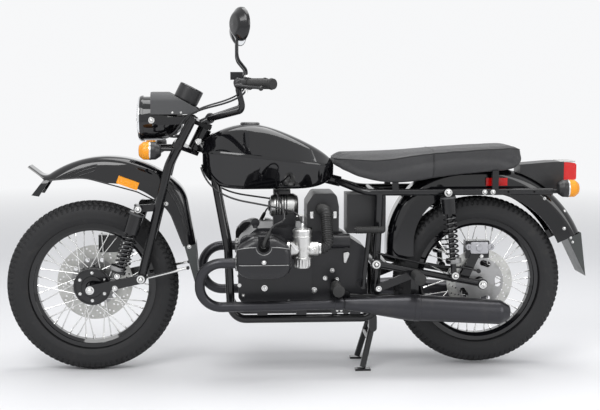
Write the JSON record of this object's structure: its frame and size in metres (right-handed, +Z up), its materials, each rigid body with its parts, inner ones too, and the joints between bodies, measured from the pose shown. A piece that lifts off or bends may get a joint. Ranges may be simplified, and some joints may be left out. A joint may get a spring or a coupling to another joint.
{
  "type": "motorcycle",
  "caption": "Solo motorcycle with a horizontally opposed twin engine, leading link fork, long dual seat and spoked wheels, on its centre stand.",
  "frame": {"origin": "on the floor, below the middle of the whole length and width", "axes": "+X to the rear of the motorcycle, +Y to the rider's right, +Z up"},
  "size_m": [2.25, 0.8342, 1.378],
  "materials": {
    "rubber_tyre": "matte",
    "black_rim": "gloss",
    "wheel_steel": "satin",
    "disc_steel": "satin",
    "gloss_black": "gloss",
    "satin_black": "satin",
    "engine_black": "satin",
    "bright_alloy": "satin",
    "spring_steel": "satin",
    "cowl_grey": "matte",
    "clear_glass": "gloss",
    "mirror_glass": "gloss",
    "amber_lens": "gloss",
    "red_lens": "gloss",
    "black_rubber": "matte",
    "black_plastic": "matte",
    "vinyl": "satin",
    "exhaust_black": "satin",
    "chrome_trim": "gloss"
  },
  "bodies": {
    "front_wheel": {"front_tyre": "rubber_tyre", "front_rim": "black_rim", "front_hub": "wheel_steel", "front_disc": "disc_steel"},
    "rear_wheel": {"rear_tyre": "rubber_tyre", "rear_rim": "black_rim", "rear_hub": "wheel_steel", "rear_disc": "disc_steel"},
    "steering": {"fork_legs": "satin_black", "fork_yokes": "satin_black", "fork_links": "satin_black", "front_shocks": "satin_black", "front_springs": "spring_steel", "front_mudguard": "gloss_black", "front_flap": "black_rubber", "headlamp_shell": "gloss_black", "headlamp_lens": "clear_glass", "headlamp_cowl": "cowl_grey", "speedometer": "black_plastic", "handlebar": "satin_black", "grips": "black_rubber", "hand_controls": "satin_black", "mirrors": "satin_black", "mirror_glass": "mirror_glass", "front_signals": "black_plastic", "front_signals_lenses": "amber_lens", "front_reflectors": "amber_lens", "front_caliper": "satin_black", "steering_cables": "black_rubber"},
    "centre_stand": {"centre_stand": "satin_black"},
    "side_stand": {"side_stand": "satin_black"},
    "chassis": {"frame": "satin_black", "swing_arm": "satin_black", "rear_shocks": "satin_black", "rear_springs": "spring_steel", "rear_caliper": "satin_black", "rear_mudguard": "gloss_black", "rear_flap": "black_rubber", "tail_bracket": "black_plastic", "tail_lamp": "red_lens", "rear_signals": "black_plastic", "rear_signals_lenses": "amber_lens", "rear_reflectors": "red_lens", "crankcase": "engine_black", "cylinders": "engine_black", "cylinder_heads": "engine_black", "rocker_covers": "engine_black", "gearbox": "engine_black", "alternator": "bright_alloy", "air_box": "black_plastic", "carburettors": "bright_alloy", "exhaust_pipes": "exhaust_black", "silencers": "exhaust_black", "kick_lever": "satin_black", "battery_box": "black_plastic", "fuel_tank": "gloss_black", "fuel_cap": "chrome_trim", "seat": "vinyl", "footrests": "satin_black", "engine_cables": "black_rubber"}
  },
  "joints": [
    {"name": "steering", "type": "hinge", "parent": "chassis", "child": "steering", "pos_m": [-0.399, 0, 0.855], "axis": [0.454, 0, 0.891], "range_deg": [-35, 35]},
    {"name": "front_wheel_spin", "type": "hinge", "parent": "steering", "child": "front_wheel", "pos_m": [-0.795, 0, 0.33], "axis": [0, 1, 0], "continuous": true},
    {"name": "rear_wheel_spin", "type": "hinge", "parent": "chassis", "child": "rear_wheel", "pos_m": [0.705, 0, 0.339], "axis": [0, 1, 0], "continuous": true},
    {"name": "centre_stand_fold", "type": "hinge", "parent": "chassis", "child": "centre_stand", "pos_m": [0.286, 0, 0.165], "axis": [0, -1, 0], "range_deg": [0, 80]},
    {"name": "side_stand_fold", "type": "hinge", "parent": "chassis", "child": "side_stand", "pos_m": [0.18, -0.118, 0.3], "axis": [0, 1, 0], "range_deg": [0, 100]}
  ]
}
